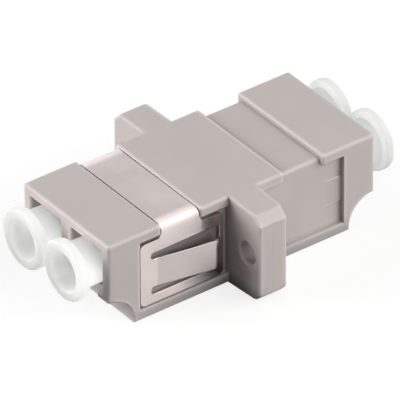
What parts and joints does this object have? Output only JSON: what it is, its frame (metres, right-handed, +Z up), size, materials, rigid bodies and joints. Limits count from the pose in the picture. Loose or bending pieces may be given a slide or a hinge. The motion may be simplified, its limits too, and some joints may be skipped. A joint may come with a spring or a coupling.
{
  "type": "lc fibre adapter",
  "caption": "Flanged duplex fibre-optic adapter with a moulded two-part body, a folded spring clip for panel mounting, and round dust plugs in its square ports.",
  "frame": {"origin": "under the middle of the body, on the plane where its two halves are welded", "axes": "+X along the fibre axes, away from the half that carries the clip; +Y across the two ports; +Z up, away from the latch keyways"},
  "size_m": [0.0356, 0.0222, 0.0095],
  "materials": {
    "housing": "fine moulded texture, warm beige grey",
    "spring_steel": "rolled stainless sheet",
    "sleeve_ceramic": "ground white ceramic",
    "dust_plug": "soft translucent white plastic"
  },
  "bodies": {
    "adapter": {"front_housing": "housing", "rear_housing": "housing", "spring_clip": "spring_steel", "split_sleeve_left": "sleeve_ceramic", "split_sleeve_right": "sleeve_ceramic"},
    "plug_front_left": {"dust_plug_front_left": "dust_plug"},
    "plug_front_right": {"dust_plug_front_right": "dust_plug"},
    "plug_rear_left": {"dust_plug_rear_left": "dust_plug"},
    "plug_rear_right": {"dust_plug_rear_right": "dust_plug"}
  },
  "joints": [
    {"name": "plug_front_left_pull", "type": "slide", "parent": "adapter", "child": "plug_front_left", "axis": [-1, 0, 0], "range_m": [0, 0.016]},
    {"name": "plug_front_right_pull", "type": "slide", "parent": "adapter", "child": "plug_front_right", "axis": [-1, 0, 0], "range_m": [0, 0.016]},
    {"name": "plug_rear_left_pull", "type": "slide", "parent": "adapter", "child": "plug_rear_left", "axis": [1, 0, 0], "range_m": [0, 0.016]},
    {"name": "plug_rear_right_pull", "type": "slide", "parent": "adapter", "child": "plug_rear_right", "axis": [1, 0, 0], "range_m": [0, 0.016]}
  ]
}
